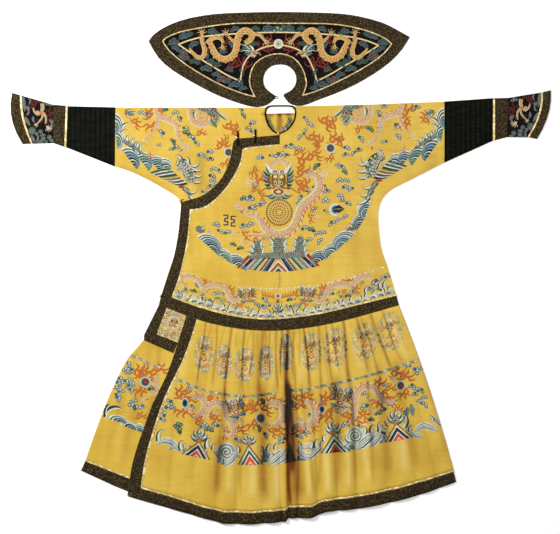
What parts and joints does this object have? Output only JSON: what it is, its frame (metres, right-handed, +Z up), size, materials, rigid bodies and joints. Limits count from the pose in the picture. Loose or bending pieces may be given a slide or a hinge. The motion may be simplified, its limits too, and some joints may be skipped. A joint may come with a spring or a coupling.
{
  "type": "chinese dragon robe",
  "caption": "Yellow silk court robe laid flat with its detached collar: side-closing body, banded sleeves and a pleated skirt in two aprons, all edged in brocade.",
  "frame": {"origin": "on the surface, under the middle of the box round the robe and its collar", "axes": "+X along the sleeves to the wearer's left, +Y from hem to neck, +Z up out of the robe's front"},
  "size_m": [1.8907, 1.7917, 0.0142],
  "materials": {
    "yellow_silk": "embroidered silk satin, soft sheen",
    "brocade": "dark brocade flecked with gold thread",
    "gold_piping": "gold-woven piping",
    "ribbed_silk": "black silk in fine tucks",
    "black_satin": "black embroidered satin",
    "white_silk": "plain silk",
    "gilt_metal": "gilt",
    "black_cord": "rolled silk cord"
  },
  "bodies": {
    "root": {"armpit_button": "gilt_metal", "armpit_loop": "black_cord", "body_left_half": "yellow_silk", "body_right_half": "yellow_silk", "collar_border": "brocade", "collar_button": "gilt_metal", "collar_loop": "black_cord", "collar_panel": "black_satin", "collar_piping": "gold_piping", "cuff_band_left": "brocade", "cuff_band_right": "brocade", "cuff_border_left": "brocade", "cuff_border_right": "brocade", "cuff_left": "black_satin", "cuff_piping_left": "gold_piping", "cuff_piping_right": "gold_piping", "cuff_right": "black_satin", "flap_border": "brocade", "flap_piping": "gold_piping", "neck_binding": "black_cord", "neck_button": "gilt_metal", "neck_facing": "white_silk", "outer_flap": "yellow_silk", "ren_border": "brocade", "ren_panel": "yellow_silk", "side_border": "brocade", "skirt_back": "yellow_silk", "skirt_back_border": "brocade", "skirt_back_piping": "gold_piping", "skirt_button": "gilt_metal", "skirt_front": "yellow_silk", "skirt_hem_border": "brocade", "skirt_hem_piping": "gold_piping", "skirt_side_border": "brocade", "skirt_side_piping": "gold_piping", "sleeve_band_left": "ribbed_silk", "sleeve_band_right": "ribbed_silk", "sleeve_piping_left": "gold_piping", "sleeve_piping_right": "gold_piping", "toggle_ball_1": "gilt_metal", "toggle_ball_2": "gilt_metal", "toggle_cord_1": "black_cord", "toggle_cord_2": "black_cord", "waist_border_back": "brocade", "waist_border_front": "brocade", "waist_button": "gilt_metal", "waist_loop": "black_cord", "waist_panel_back": "yellow_silk", "waist_panel_front": "yellow_silk", "waist_piping": "gold_piping"}
  },
  "joints": []
}
